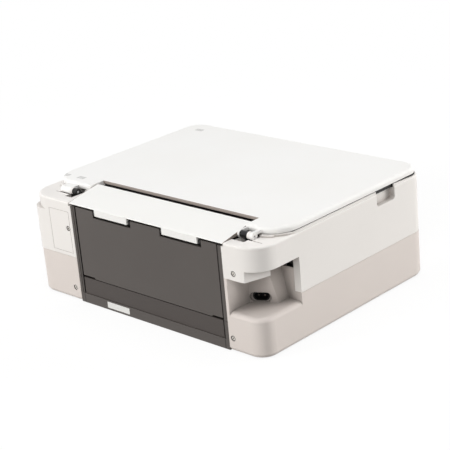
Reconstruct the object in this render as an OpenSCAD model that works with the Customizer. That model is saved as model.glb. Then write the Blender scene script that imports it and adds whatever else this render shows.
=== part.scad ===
// All-in-one inkjet printer: rear paper support, flatbed scanner, front cassette.
// X runs to the right seen from the front, Y to the rear and Z up. The origin is on the table,
// under the middle of the housing.

/* [Housing] */
// Width of the housing
body_w = 470; // [455:1:490]
// Depth of the housing
body_d = 370; // [362:1:385]
// Height of the closed printer, lid included
body_h = 172; // [170:1:180]
// Wall of the two housings
wall = 3; // [2.5:0.1:3.5]
// Height at which the grey lower housing meets the white upper housing
split_z = 72; // [70:1:73]
// Seam between the two housings
seam = 0.3; // [0.3:0.1:0.6]
// Plan radius of the front corners
front_r = 28; // [20:1:32]
// Plan radius of the lower housing's rear corners
lower_rear_r = 24; // [18:1:28]
// Plan radius of the upper housing's rear corners
upper_rear_r = 38; // [30:1:42]
// Plan radius of the squarer corner block at the rear right
block_r = 22; // [18:1:26]
// Drop from the ledge to the top of that corner block
block_drop = 20; // [16:1:24]
// Height of the bevel round the foot of the housing
bevel_h = 4.5; // [3:0.5:6]
// Width of that bevel
bevel_w = 3; // [2:0.5:4]
// Height of the rubber feet under the base
foot_h = 2; // [1.5:0.5:3]
// Drop from the lid's top to the ledge round its rear corners
ledge_drop = 12; // [11:0.5:13]
// Rounding of the upper housing's top edge
ledge_round = 3; // [2:0.5:3.5]

/* [Lid] */
// Inset of the lid from the side walls
lid_inset = 2; // [1.5:0.5:3]
// Height of the lid's skirt at the sides
lid_h = 8.1; // [7.9:0.1:8.5]
// Gap between the lid and the rim under it
rim_gap = 1.2; // [0.8:0.1:1.4]
// Thickness of the lid's top plate
lid_plate = 4.5; // [4:0.5:5]
// Rounding of the lid's top edge
lid_round = 5; // [3:0.5:6]
// Plan radius of the lid's rear corners
lid_rear_r = 40; // [36:1:44]
// Distance from the rear face to the lid's rear lobes
lobe_back = 47; // [46:1:50]
// Bore of the hinge knuckles
hinge_bore_r = 2.05; // [2.03:0.01:2.08]
// Radius of the hinge pins
hinge_pin_r = 2; // [1.9:0.01:2]
// Radius of the hinge knuckles
knuckle_r = 5.6; // [5:0.1:6]

/* [Rear] */
// Middle of the paper path, from the housing's middle
paper_x = -15; // [-17:0.5:-13]
// Width of the white corners beside the dark rear frame, taken as the mean of both
corner_w = 80.5; // [80:0.5:82]
// How far the paper support reaches past the rear frame on each side
support_over = 3.5; // [2.5:0.5:4]
// Thickness of the paper support
support_t = 2.2; // [2:0.1:2.6]
// Gap between the lid's rear edge and the paper support
slot_w = 13; // [11:0.5:14]
// Depth of the paper support from front edge to rear edge
support_d = 61; // [60:0.5:62]
// Width of each hinge tab
tab_w = 69; // [60:1:72]
// Height of each hinge tab
tab_h = 10; // [9:0.5:11]
// Distance from the rear frame's side to the transport cover
door_side = 10; // [9.5:0.5:12]
// Height of the transport cover's lower edge
door_z0 = 44.5; // [44:0.1:46]
// Thickness of the rear covers
cover_t = 3; // [2.5:0.1:3.2]
// Radius of the transport cover's pivots
pivot_r = 2; // [1.8:0.1:2.2]

/* [Power recess] */
// Distance from the left wall to the recess's inner wall
recess_w = 60; // [58:1:61]
// Length of the recess along the left wall
recess_l = 81.5; // [80:0.5:84]
// Floor of the recess
recess_z = 59.5; // [58:0.5:61]
// Rounding of the recess floor's outer edge
floor_round = 6; // [4:0.5:7]
// Drop from the ledge to the top of the opening in the corner
corner_cut_drop = 35; // [32:1:37]
// Height of that opening above the grey recess walls
corner_cut_h = 16; // [14:1:18]
// Width of the figure-8 inlet
inlet_w = 21; // [20:0.5:22]
// Height of the figure-8 inlet
inlet_h = 11; // [10.5:0.5:12]

/* [Scanner] */
// Clearance between the scanner unit and its well
well_gap = 1.2; // [1.2:0.1:1.6]
// Depth of the scanner tub under the glass
tub_h = 32; // [30:1:33]
// Length of the glass across the printer
glass_w = 306; // [302:1:312]
// Width of the glass from front to rear
glass_d = 224; // [220:1:228]
// Thickness of the glass
glass_t = 2.8; // [2.4:0.1:3]

/* [Paper cassette] */
// Width of the cassette
cassette_w = 244; // [240:1:248]
// Distance from the cassette's end to the rear face
cassette_back = 64; // [62:1:68]
// Height of the cassette
cassette_h = 36; // [34:1:37]

/* [Print mechanism] */
// Diameter of the carriage's guide rail
rail_d = 10; // [9:0.5:10]
// Running clearance of shafts in their bores, on the radius
run_gap = 0.05; // [0.03:0.01:0.08]
// Width of the carriage
carriage_w = 90; // [84:1:94]
// Face width of the gears
gear_w = 6; // [5:0.5:7]

/* [Control panel] */
// Width of the control panel
panel_w = 300; // [290:1:310]
// Height of the control panel
panel_h = 50; // [48:1:50]
// Diameter of the push buttons
button_d = 11; // [10:0.5:12]
// Travel of the push buttons
button_travel = 1.2; // [1:0.1:1.4]

/* [Hidden] */
$fn = 48;
fit = 0.3;
gear_m = 1;
side_x = body_w / 2;
rear_y = body_d / 2;
front_y = -rear_y;

// heights measured from the top
ledge_z = body_h - ledge_drop;
block_z = ledge_z - block_drop;
corner_cut_z = ledge_z - corner_cut_drop;
recess_top = corner_cut_z - corner_cut_h;
lid_z0 = body_h - lid_h;
rim_z = lid_z0 - rim_gap;
hinge_z = body_h - 8.5;
hinge_y = rear_y - 34;

// lid outline
lid_x = side_x - lid_inset;
lid_y0 = front_y + 3;
lid_y1 = rear_y - lobe_back;
slot_y1 = rear_y - support_d;
slot_y0 = slot_y1 - slot_w;

// rear frame, paper support and covers
frame_w = body_w - 2 * corner_w;
support_w = frame_w + 2 * support_over;
door_w = frame_w - 2 * door_side;
frame_x0 = paper_x - frame_w / 2;
frame_x1 = paper_x + frame_w / 2;
frame_z0 = 1.5;
frame_z1 = ledge_z - 5;
frame_t = 4;
frame_side = 8;
rail_deep = 24;
rail_in0 = frame_x0 + frame_side;
rail_in1 = frame_x1 - frame_side;
support_x0 = paper_x - support_w / 2;
support_x1 = paper_x + support_w / 2;
support_axis_y = rear_y - 5;
support_axis_z = ledge_z - 8;
tab_gap_z = support_axis_z - 7.6;
door_x0 = paper_x - door_w / 2;
door_x1 = paper_x + door_w / 2;
door_z1 = frame_z1;
cover_y1 = rear_y - 1.6;
cover_y0 = cover_y1 - cover_t;
cover_z0 = 17;
cover_z1 = door_z0 - 1.3;
pivot_y = cover_y1 - 4;
pivot_z = door_z0 + 8;
TABS = [paper_x - 75 - tab_w / 2, paper_x + 66 - tab_w / 2];

// hinge pieces along the hinge line, each row: start, end
EAR = [support_x0 - 4.7, support_x0 - 1.6];
ARM = [[support_x0 - 13.5, support_x0 - 5], [support_x1 + 15, support_x1 + 21.3]];
LUG = [[support_x0 - 22.7, support_x0 - 13.8], [support_x1 + 21.6, support_x1 + 28]];
KNUCKLE = [[support_x0 - 28.5, support_x0 - 23], [support_x1 + 28.3, support_x1 + 50]];
POCKET = [[LUG[0][0], support_x0 - 0.6], [ARM[1][0] - 1.5, LUG[1][1]]];
PIN = [[KNUCKLE[0][0] + 2, EAR[1]], [ARM[1][0] + 0.5, KNUCKLE[1][1] - 0.5]];

// slits of the ledge behind the hinges, and the raised strips of the rim beside them
SLIT = [[support_x0 - 47.5, LUG[0][0] - 2], [LUG[1][1] + 1, support_x1 + 59]];
STRIP = [[-side_x + 16, KNUCKLE[0][0] - 1.6], [KNUCKLE[1][1] + 1.4, side_x - 18]];

// well for the scanner unit
well_x = side_x - wall;
well_y0 = front_y + wall;
well_y1 = slot_y0 - 1;
bar_y1 = well_y1 + 2.6;
scan_x = well_x - well_gap;
scan_y0 = well_y0 + well_gap;
scan_y1 = well_y1 - well_gap;
scan_z0 = rim_z - 11;
tub_z0 = rim_z - tub_h;
tub_x = scan_x - 11;
tub_y0 = scan_y0 + 14;
tub_y1 = scan_y1 - 2;

// base and inner floor
base_z0 = foot_h + 1;
base_z1 = base_z0 + 2.5;

// power recess in the rear left corner
recess_x = -side_x + recess_w;
recess_y = rear_y - recess_l;
boss_p0 = [recess_x, rear_y - 41.5];
boss_p1 = [-side_x + 24, rear_y - 61];
boss_draft = 13;
boss_a = atan2(boss_p1[1] - boss_p0[1], boss_p0[0] - boss_p1[0]);
return_p0 = [-side_x + 28.4, rear_y + 1];
return_p1 = [-side_x + 16, rear_y - 40];
flange_w = 11.5;
inlet_mid = [recess_x - 13.5, recess_z + inlet_h / 2 + 1.8];

// cassette, output tray and front openings
cassette_x0 = paper_x - cassette_w / 2;
cassette_x1 = paper_x + cassette_w / 2;
cassette_z0 = base_z1 + 2.5;
cassette_z1 = cassette_z0 + cassette_h;
mouth_x0 = cassette_x0 - 4;
mouth_x1 = cassette_x1 + 4;
tray_z0 = cassette_z1 + 4;
tray_t = 3;
extension_w = 124;

// print mechanism
chassis_x0 = paper_x - 168;
chassis_x1 = paper_x + 220;
plate_t = 2;
chassis_y1 = recess_y - 15.5;
chassis_y0 = chassis_y1 - 84;
chassis_z1 = tub_z0 - 4;
tray_y1 = chassis_y0 - 44;
feed_y = chassis_y1 - 22;
feed_z = 60.5;
feed_r = 6;
feed_shaft_r = 4;
carriage_y0 = chassis_y1 - 68;
carriage_y1 = chassis_y1 - 10;
carriage_z0 = feed_z + feed_r + 5.5;
carriage_z1 = tub_z0 - 7;
rail_y = chassis_y1 - 18;
rail_z = carriage_z1 - 6.8;
rail_r = rail_d / 2;
feed_teeth = 36;
idler_teeth = 20;
eject_teeth = 24;
pinion_teeth = 12;
idler_y = feed_y - gear_m * (feed_teeth + idler_teeth) / 2;
eject_y = idler_y - gear_m * (idler_teeth + eject_teeth) / 2;
pinion_z = feed_z + gear_m * (feed_teeth + pinion_teeth) / 2;
gear_x1 = chassis_x0 - plate_t - 1;
gear_x0 = gear_x1 - gear_w;
home_x1 = chassis_x1 - 6;
home_x0 = home_x1 - carriage_w;
belt_y1 = chassis_y1 - 2.5;
belt_y0 = belt_y1 - 5;
belt_z = carriage_z1 - 23.7;
belt_t = 1;
pulley_r = 6;
pulley_x0 = chassis_x0 + 14;
pulley_x1 = chassis_x1 - 14;

// control panel and its push buttons
panel_x0 = -panel_w / 2;
panel_x1 = panel_w / 2;
panel_y = front_y + button_travel;
panel_t = 8.8;
panel_axis_y = front_y + 8;
panel_r = panel_axis_y - panel_y;
panel_axis_z = scan_z0 - 0.9 - panel_r;
panel_z1 = panel_axis_z + panel_r;
panel_z0 = panel_z1 - panel_h;
mouth_z1 = panel_z0 - 4.5;
button_z = panel_z0 + 22;
display_w = 82;
display_h = 36;
BUTTONS = [["power_button", -128], ["menu_button", -88], ["ok_button", -64],
           ["stop_button", 72], ["mono_button", 100], ["colour_button", 128]];

// details used by more than one piece
roller_y = rear_y - 65;
roller_z = 99;
roller_r = 14;
drum_y = rear_y - 38;
drum_z = 56;
drum_r = 24;
DRUM_RIBS = 12;
drum_pitch = (rail_in1 - rail_in0 - 3) / (DRUM_RIBS - 1);
reverse_y = drum_y + 11;
reverse_r = 13.5;
arc_r = 900;
arc_y = rear_y - 196;
arc_z = body_h - 891.1;
paper_half = cassette_w / 2 - 13;
notch_y0 = -112;
notch_y1 = -70;
notch_z0 = ledge_z - 19.5;
notch_r = 5;
notch_deep = 9;
notch_top = scan_z0 + 5.3;
glass_y1 = scan_y1 - 8;
glass_y0 = glass_y1 - glass_d;
scan_rod_x = 34;
scan_rod_z = tub_z0 + 9;
tank_z0 = carriage_z0 + 6;
tank_z1 = carriage_z1 - 2;
tank_y0 = carriage_y0 + 2.8;
tank_y1 = rail_y - 9.5;
tank_w = (carriage_w - 5 - 6 * 0.6) / 6;
cap_z0 = 52;
cap_travel = 4;
CAP_PINS = [home_x0 + 20, home_x1 - 34];
FEET = [for (x = [35 - side_x, side_x - 35], y = [front_y + 35, rear_y - 45]) [x, y]];
SCREWS = [[frame_x1 + 11, block_z - 22.5], [frame_x1 + 12, 21.3],
          [frame_x0 - 19, block_z - 21.2], [frame_x0 - 8, 21.1]];

// colours
white = "#f4f4f2";
pale = "#d8d3cf";
dark = "#5f5b57";
black = "#232323";
steel = "#b9bcc0";
gear_white = "#e8e4d8";

// box between two corners
module box(x0, x1, y0, y1, z0, z1) {
    translate([x0, y0, z0]) cube([x1 - x0, y1 - y0, z1 - z0]);
}

// cylinder along X, from x0 to x1
module rod_x(x0, x1, y, z, r) {
    translate([x0, y, z]) rotate([0, 90, 0]) cylinder(h = x1 - x0, r = r);
}

// cylinder along Y, from y0 to y1
module rod_y(y0, y1, x, z, r) {
    translate([x, y0, z]) rotate([-90, 0, 0]) cylinder(h = y1 - y0, r = r);
}

// extrude a profile drawn in the YZ plane from x0 to x1
module along_x(x0, x1) {
    translate([x0, 0, 0]) rotate([90, 0, 90]) linear_extrude(x1 - x0) children();
}

// plan with a radius at each corner: front left, front right, rear right, rear left
module plan(x0, x1, y0, y1, r) {
    polygon([[x0 + r[0], y0], [x1 - r[1], y0], [x1, y0 + r[1]], [x1, y1 - r[2]],
             [x1 - r[2], y1], [x0 + r[3], y1], [x0, y1 - r[3]], [x0, y0 + r[0]]]);
    translate([x0 + r[0], y0 + r[0]]) circle(r[0]);
    translate([x1 - r[1], y0 + r[1]]) circle(r[1]);
    translate([x1 - r[2], y1 - r[2]]) circle(r[2]);
    translate([x0 + r[3], y1 - r[3]]) circle(r[3]);
}

module slab(x0, x1, y0, y1, r, z0, z1) {
    translate([0, 0, z0]) linear_extrude(z1 - z0) plan(x0, x1, y0, y1, r);
}

// quarter turn of an edge profile, whose x is measured inwards from the side face
module corner_turn(x, y, r, angle) {
    translate([x, y, 0]) rotate([0, 0, angle]) rotate_extrude(angle = 90)
        intersection() {
            translate([r, 0]) mirror([1, 0]) children();
            square([r, body_h]);
        }
}

// rounded plan whose whole side face follows the edge profile given as a child
module edged_slab(x0, x1, y0, y1, r, deep, z0, z1) {
    corner_turn(x0 + r[0], y0 + r[0], r[0], 180) children();
    corner_turn(x1 - r[1], y0 + r[1], r[1], 270) children();
    corner_turn(x1 - r[2], y1 - r[2], r[2], 0) children();
    corner_turn(x0 + r[3], y1 - r[3], r[3], 90) children();
    translate([x0 + r[0], y0, 0]) rotate([90, 0, 90]) linear_extrude(x1 - r[1] - x0 - r[0]) children();
    translate([x1 - r[2], y1, 0]) rotate([90, 0, -90]) linear_extrude(x1 - r[2] - x0 - r[3]) children();
    translate([x0, y1 - r[3], 0]) rotate([90, 0, 0]) linear_extrude(y1 - r[3] - y0 - r[0]) children();
    translate([x1, y0 + r[1], 0]) rotate([90, 0, 180]) linear_extrude(y1 - r[2] - y0 - r[1]) children();
    box(x0 + deep, x1 - deep, y0 + deep, y1 - deep, z0, z1);
}

// edge profile with a rounded top
module rounded_edge(deep, z0, z1, r) {
    translate([r, z0]) square([deep - r, z1 - z0]);
    translate([0, z0]) square([deep, z1 - r - z0]);
    intersection() {
        translate([r, z1 - r]) circle(r);
        translate([0, z1 - r]) square([2 * r, r]);
    }
}

// edge profile with a bevel at the foot
module bevelled_edge(deep, z0, z1) {
    polygon([[bevel_w, z0], [deep, z0], [deep, z1], [0, z1], [0, z0 + bevel_h]]);
}

// spur gear lying in the XY plane, with a tooth or a gap at angle 0
module spur(teeth, bore_r, gap_first) {
    pitch = gear_m * teeth / 2;
    step = 360 / teeth;
    root = pitch - 1.2 * gear_m;
    tip = pitch + 0.85 * gear_m;
    base_half = 0.30 * step;
    tip_half = 0.11 * step;
    shift = gap_first ? step / 2 : 0;
    linear_extrude(gear_w) difference() {
        polygon([for (i = [0 : teeth - 1], k = [0 : 3])
            let (a = i * step + shift + [-base_half, -tip_half, tip_half, base_half][k],
                 d = k == 0 || k == 3 ? root : tip)
            [d * cos(a), d * sin(a)]]);
        circle(bore_r);
    }
}

// plan of the power recess, boss left standing
module recess_plan() {
    polygon([[recess_x, rear_y + 5], boss_p0, boss_p1, [boss_p1[0], recess_y],
             [-side_x - 5, recess_y], [-side_x - 5, rear_y + 5]]);
}

// lower housing: grey wall ring, bevelled at the foot, with the power recess in its rear left corner
module lower_housing() {
    r = [front_r, front_r, lower_rear_r, lower_rear_r];
    inner = [front_r - wall, front_r - wall, lower_rear_r - wall, lower_rear_r - wall];
    block_x1 = frame_x0 - fit;
    color(pale) difference() {
        union() {
            difference() {
                edged_slab(-side_x, side_x, front_y, rear_y, r, front_r, foot_h, split_z)
                    bevelled_edge(front_r, foot_h, split_z);
                slab(-side_x + wall, side_x - wall, front_y + wall, rear_y - wall, inner,
                     foot_h - 1, split_z + 1);
            }
            intersection() {
                slab(-side_x, side_x, front_y, rear_y, r, recess_z - 2.5, recess_top);
                box(-side_x, block_x1, recess_y - 5.5, rear_y, 0, body_h);
            }
        }
        // recess, with the drafted right side of the boss
        translate([0, 0, recess_z]) linear_extrude(body_h) recess_plan();
        boss_side();
        // the white flange stands here
        box(-side_x - 1, -side_x + flange_w + fit, recess_y - 6, recess_y + 1, split_z, body_h);
        box(-side_x - 1, -side_x + 35, recess_y - 6, recess_y + 1, recess_top - 3, body_h);
        // seat of the power inlet, a wide lead-in and a through slot
        inlet_place() {
            stadium_cut(inlet_w + 10, inlet_h + 3.6, -5, 8);
            stadium_cut(inlet_w + 3, inlet_h + 3, -26, 0);
        }
        boss_hollow();
        // rear frame, cassette and paper mouth
        box(frame_x0 - fit, frame_x1 + fit, rear_y - 25, rear_y + 1, -1, body_h);
        box(mouth_x0, mouth_x1, front_y - 1, front_y + wall + 1, foot_h + 4, split_z + 1);
        for (p = SCREWS) rod_y(rear_y - 2, rear_y + 1, p[0], p[1], 4.2);
        floor_edge();
    }
}

// waste outside the rounded outer edge of the recess floor
module floor_edge() {
    deep = floor_round + 1;
    r = [front_r, front_r, lower_rear_r, lower_rear_r];
    difference() {
        translate([0, 0, recess_z - floor_round]) linear_extrude(floor_round + 1) recess_plan();
        edged_slab(-side_x, side_x, front_y, rear_y, r, lower_rear_r, split_z - 20, recess_z)
            soft_edge(lower_rear_r, split_z - 20, recess_z, deep);
    }
}

// edge profile with a rounded top that meets the side face at a small angle
module soft_edge(deep, z0, z1, r) {
    translate([r - 0.1, z0]) square([deep - r + 0.1, z1 - z0]);
    intersection() {
        translate([r - 0.1, z1 - r]) circle(r);
        translate([0, z1 - r]) square([2 * r, r]);
    }
    translate([0, z0]) square([deep, z1 - r - z0]);
}

// frame of the power inlet: x along the boss face, y out of it, z up
module inlet_place() {
    translate([inlet_mid[0], boss_p0[1] - (boss_p0[0] - inlet_mid[0]) * (-tan(boss_a)), inlet_mid[1]])
        rotate([0, 0, -boss_a]) children();
}

// drafted right side of the boss
module boss_side() {
    h = recess_top + 1 - recess_z;
    translate([boss_p1[0], boss_p1[1] + 8, recess_z]) rotate([90, 0, 0])
        linear_extrude(boss_p1[1] + 8 - recess_y) polygon([[-1, 0], [0, 0], [h * tan(boss_draft), h], [-1, h]]);
}

// space behind the boss, with the inlet's seat left standing
module boss_hollow() {
    x1 = frame_x0 - fit - wall;
    x0 = x1 - 24;
    y = boss_p0[1] - 2;
    difference() {
        translate([0, 0, recess_z - wall]) linear_extrude(recess_top - recess_z)
            polygon([[x1, y], [x0, y - 24 * tan(-boss_a)], [x0, recess_y - 6], [x1, recess_y - 6]]);
        inlet_place() box(-inlet_w, inlet_w, -22, 1, -inlet_h, inlet_h);
    }
}

// slot with round ends, cut along y from y0 to y1
module stadium_cut(w, h, y0, y1) {
    for (s = [-1, 1]) rod_y(y0, y1, s * (w - h) / 2, 0, h / 2);
    box(-(w - h) / 2, (w - h) / 2, y0, y1, -h / 2, h / 2);
}

// outer form of the upper housing
module upper_form() {
    lower_r = [front_r, front_r, block_r, upper_rear_r];
    upper_r = [front_r, front_r, upper_rear_r, upper_rear_r];
    slab(-side_x, side_x, front_y, rear_y, lower_r, split_z + seam, block_z);
    edged_slab(-side_x, side_x, front_y, rear_y, upper_r, upper_rear_r, block_z, ledge_z)
        rounded_edge(upper_rear_r, block_z, ledge_z, ledge_round);
    slab(-lid_x - 1, lid_x + 1, front_y + 1, lid_y1 + 2, [front_r, front_r, lid_rear_r, lid_rear_r],
         ledge_z - 4, rim_z);
    // raised strips beside the hinges
    intersection() {
        slab(-lid_x - 1, lid_x + 1, front_y + 1, lid_y1 + 5.5, [front_r, front_r, lid_rear_r, lid_rear_r],
             ledge_z - 4, rim_z - 0.5);
        for (s = STRIP) box(s[0], s[1], rear_y - 80, rear_y, 0, body_h);
    }
}

// hollow of the upper housing: scanner well, mechanism bay and the rear corners
module upper_hollow() {
    inner_r = front_r - wall;
    slab(-well_x, well_x, well_y0, well_y1, [inner_r, inner_r, 3, 3], split_z - 1, body_h);
    slab(-well_x, well_x, well_y1 - 10, rear_y - wall, [3, 3, block_r - wall, upper_rear_r - wall],
         split_z - 1, block_z - wall);
}

// upper housing: white shell with the finger notches, hinge pockets and screw tower
module upper_housing() {
    color(white) {
        difference() {
            union() {
                difference() {
                    upper_form();
                    upper_hollow();
                }
                // bar between the scanner well and the feed slot
                box(-well_x, well_x, well_y1, bar_y1, roller_z + roller_r + 7, ledge_z);
                finger_pocket();
                mirror([1, 0, 0]) finger_pocket();
                corner_return();
                panel_bearing();
                mirror([1, 0, 0]) panel_bearing();
            }
            rod_x(panel_x0 - 4, panel_x1 + 4, panel_axis_y, panel_axis_z, 2 + run_gap);
            // feed slot and paper support
            box(frame_x0 - fit, frame_x1 + fit, bar_y1, rear_y + 1, split_z - 1, body_h);
            box(support_x0 - 0.6, support_x1 + 0.6, bar_y1, rear_y + 1, ledge_z - 5, body_h);
            // hinge pockets
            for (p = POCKET) box(p[0], p[1], well_y1 - 1, rear_y - 18, block_z - 25, body_h);
            for (k = KNUCKLE) box(k[0] - 0.7, k[1] + 0.7, lid_y1 - 2, rear_y - 26.5, ledge_z - 5, body_h);
            for (s = SLIT) box(s[0], s[1], rear_y - 27.7, rear_y - 26.5, ledge_z - 2, body_h);
            // corner opening over the power recess
            corner_opening();
            // front mouth and control panel
            box(mouth_x0, mouth_x1, front_y - 1, front_y + wall + 1, split_z - 1, mouth_z1);
            box(panel_x0 - fit, panel_x1 + fit, front_y - 1, front_y + wall + 1,
                panel_z0 - fit, panel_z1 + fit);
            finger_notch();
            mirror([1, 0, 0]) finger_notch();
            front_grip();
            for (p = SCREWS) rod_y(rear_y - 2, rear_y + 1, p[0], p[1], 4.2);
            plate_line();
        }
    }
}

// shallow line round a plate-like field beside the rear frame
module plate_line() {
    x0 = frame_x1 + 6.5;
    x1 = frame_x1 + 51.5;
    z0 = split_z + 6;
    z1 = block_z + 4.5;
    w = 0.6;
    difference() {
        box(x0, x1, rear_y - 0.4, rear_y + 1, z0, z1);
        box(x0 + w, x1 - w, rear_y - 1, rear_y + 2, z0 + w, z1 - w);
    }
}

// bearing lug of the control panel, inside the front wall
module panel_bearing() {
    box(panel_x1 + fit, panel_x1 + 5, front_y + 1, panel_axis_y + 4, panel_axis_z - 4, panel_axis_z + 4);
}

// opening of the corner: over the recess it is open up to corner_cut_z, outside the return wall
module corner_opening() {
    translate([0, 0, recess_top]) linear_extrude(corner_cut_z - recess_top)
        polygon([return_p0, return_p1, [return_p1[0], recess_y], [-side_x - 1, recess_y],
                 [-side_x - 1, rear_y + 1]]);
    box(-side_x - 1, frame_x0, recess_y, rear_y + 1, split_z - 1, recess_top);
    box(-side_x + flange_w, frame_x0, recess_y - 8, rear_y - wall, split_z - 1, recess_top);
}

// walls behind the corner opening: return wall, top of the recess and the flange beside it
module corner_return() {
    intersection() {
        slab(-side_x, side_x, front_y, rear_y, [front_r, front_r, block_r, upper_rear_r],
             split_z + seam, block_z);
        union() {
            translate([0, 0, recess_top]) linear_extrude(block_z - recess_top - 6)
                polygon([return_p0, return_p1, [return_p1[0] + 3, return_p1[1]],
                         [return_p0[0] + 3, return_p0[1]]]);
            box(-side_x, return_p1[0] + 9, recess_y - 3, rear_y, corner_cut_z, corner_cut_z + 2.5);
            box(-side_x, -side_x + flange_w, recess_y - 2.5, recess_y, split_z + seam, corner_cut_z + 2);
        }
    }
}

// finger notch in the side wall, under the lid
module notch_shape(grow) {
    z0 = notch_z0 - grow;
    for (y = [notch_y0 + notch_r, notch_y1 - notch_r])
        translate([y, notch_z0 + notch_r]) circle(notch_r + grow);
    translate([notch_y0 - grow, notch_z0 + notch_r]) square([notch_y1 - notch_y0 + 2 * grow, 30]);
    translate([notch_y0 + notch_r, z0]) square([notch_y1 - notch_y0 - 2 * notch_r, 30]);
}
module finger_notch() {
    along_x(-side_x - 1, -side_x + notch_deep) notch_shape(0);
}
module finger_pocket() {
    intersection() {
        along_x(-side_x + 1, -side_x + notch_deep + 2) notch_shape(2);
        box(-side_x, 0, front_y, rear_y, notch_z0 - 4, notch_top);
    }
}

// the rim drops a little round the front corners, so fingers can reach under the lid
module front_grip() {
    along_x(-side_x - 1, side_x + 1)
        polygon([[front_y - 1, rim_z - 2.5], [front_y + 30, rim_z - 2], [front_y + 70, rim_z + 0.01],
                 [front_y + 70, body_h], [front_y - 1, body_h]]);
}

// base plate with a shallow rib grid
module base_plate() {
    x = side_x - wall - fit;
    color(black) {
        difference() {
            slab(-x, x, front_y + wall + fit, rear_y - wall - fit,
                 [front_r - wall, front_r - wall, lower_rear_r - wall, lower_rear_r - wall], base_z0, base_z1);
            box(frame_x0 - fit, frame_x1 + fit, rear_y - 25, rear_y + 1, 0, body_h);
        }
        for (s = [-1, 1]) box(paper_x + s * 60 - 1, paper_x + s * 60 + 1, front_y + 30, rear_y - 60,
                              base_z1, cassette_z0 - fit);
        // runners of the output tray, one on each side of the cassette
        for (s = [0, 1]) mirror([s, 0, 0]) translate([s * -2 * paper_x, 0, 0]) tray_runner();
    }
}

module tray_runner() {
    z1 = tray_z0 - fit;
    y0 = front_y + 8;
    box(cassette_x1 + 0.6, cassette_x1 + 3, y0, tray_y1 + 5, base_z1, z1);
    box(cassette_x1 - 6, cassette_x1 + 3, y0, tray_y1 + 5, z1 - 2.5, z1);
}

// four round rubber feet under the base plate
module rubber_feet() {
    color(black) for (p = FEET) translate([p[0], p[1], 0]) cylinder(h = base_z0, r = 9);
}

// pan head screws of the housings, with a cross recess
module housing_screws() {
    color(steel) for (p = SCREWS) difference() {
        rod_y(rear_y - 2, rear_y - 0.6, p[0], p[1], 3.4);
        box(p[0] - 2, p[0] + 2, rear_y - 1.4, rear_y, p[1] - 0.5, p[1] + 0.5);
        box(p[0] - 0.5, p[0] + 0.5, rear_y - 1.4, rear_y, p[1] - 2, p[1] + 2);
    }
}

// rear frame: side rails, foot strip and a stepped face
module rear_frame() {
    color(dark) difference() {
        union() {
            for (x = [[frame_x0, rail_in0], [rail_in1, frame_x1]])
                box(x[0], x[1], rear_y - rail_deep, rear_y - 0.4, frame_z0, frame_z1);
            box(rail_in0, rail_in1, rear_y - frame_t, rear_y - 0.4, frame_z0, cover_z0 - fit);
            box(rail_in0, rail_in1, rear_y - rail_deep, rear_y - frame_t, frame_z0, frame_z0 + 3);
        }
        // step along the inner half of each side strip
        for (x = [[rail_in0 - 3.6, rail_in0 + 1], [rail_in1 - 1, rail_in1 + 3.6]])
            box(x[0], x[1], rear_y - 1.2, rear_y, cover_z0 - fit, body_h);
        // seam across the side strips, level with the seam of the covers
        for (x = [[frame_x0 - 1, rail_in0 + 1], [rail_in1 - 1, frame_x1 + 1]])
            box(x[0], x[1], rear_y - 1.7, rear_y, cover_z1, cover_z1 + 0.6);
        // bearings of the transport cover
        rod_x(rail_in0 - 4, rail_in0 + 1, pivot_y, pivot_z, pivot_r + run_gap);
        rod_x(rail_in1 - 1, rail_in1 + 4, pivot_y, pivot_z, pivot_r + run_gap);
    }
}

// fixed cover under the transport cover
module lower_rear_cover() {
    color(dark) {
        box(door_x0, door_x1, cover_y0, cover_y1, cover_z0, cover_z1);
        for (x = [[rail_in0, door_x0 + 12], [door_x1 - 12, rail_in1]])
            box(x[0], x[1], cover_y0 - 5, cover_y0, cover_z0 + 2, cover_z1 - 9);
    }
}

// transport cover: hinged low down, notched at the top for the tabs, ribbed inside
module transport_cover() {
    ribs = 11;
    rib_t = 2;
    step = (door_w - 40) / (ribs - 1);
    color(dark) difference() {
        union() {
            box(door_x0, door_x1, cover_y0, cover_y1, door_z0, door_z1);
            for (i = [0 : ribs - 1]) let (x = door_x0 + 20 + i * step)
                along_x(x - rib_t / 2, x + rib_t / 2)
                    polygon([[cover_y0, 64], [cover_y0 - 4, 72], [cover_y0 - 4, 86],
                             [cover_y0 - 2, 110], [cover_y0, 134]]);
            for (x = [[door_x0, door_x0 + 8], [door_x1 - 8, door_x1]]) {
                rod_x(x[0], x[1], pivot_y, pivot_z, 3.6);
                box(x[0], x[1], pivot_y, cover_y0 + 1, pivot_z - 3.6, pivot_z + 3.6);
            }
            rod_x(rail_in0 - 3.5, door_x0, pivot_y, pivot_z, pivot_r);
            rod_x(door_x1, rail_in1 + 3.5, pivot_y, pivot_z, pivot_r);
        }
        // notches under the tabs and their ears
        for (x = TABS) box(x - 6, x + tab_w + 6, cover_y0 - 1, rear_y + 1, tab_gap_z, door_z1 + 1);
        // raised ends of the lower edge
        box(door_x0 - 1, door_x0 + 20, cover_y0 - 1, rear_y, door_z0 - 1, door_z0 + 2.2);
        box(door_x1 - 25, door_x1 + 1, cover_y0 - 1, rear_y, door_z0 - 1, door_z0 + 2.2);
    }
}

// top line of the paper support: a flat arc that falls to the rear
module support_skin(drop) {
    difference() {
        translate([arc_y, arc_z]) circle(arc_r - drop, $fn = 900);
        translate([arc_y, arc_z]) circle(arc_r - drop - support_t, $fn = 900);
    }
}

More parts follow.
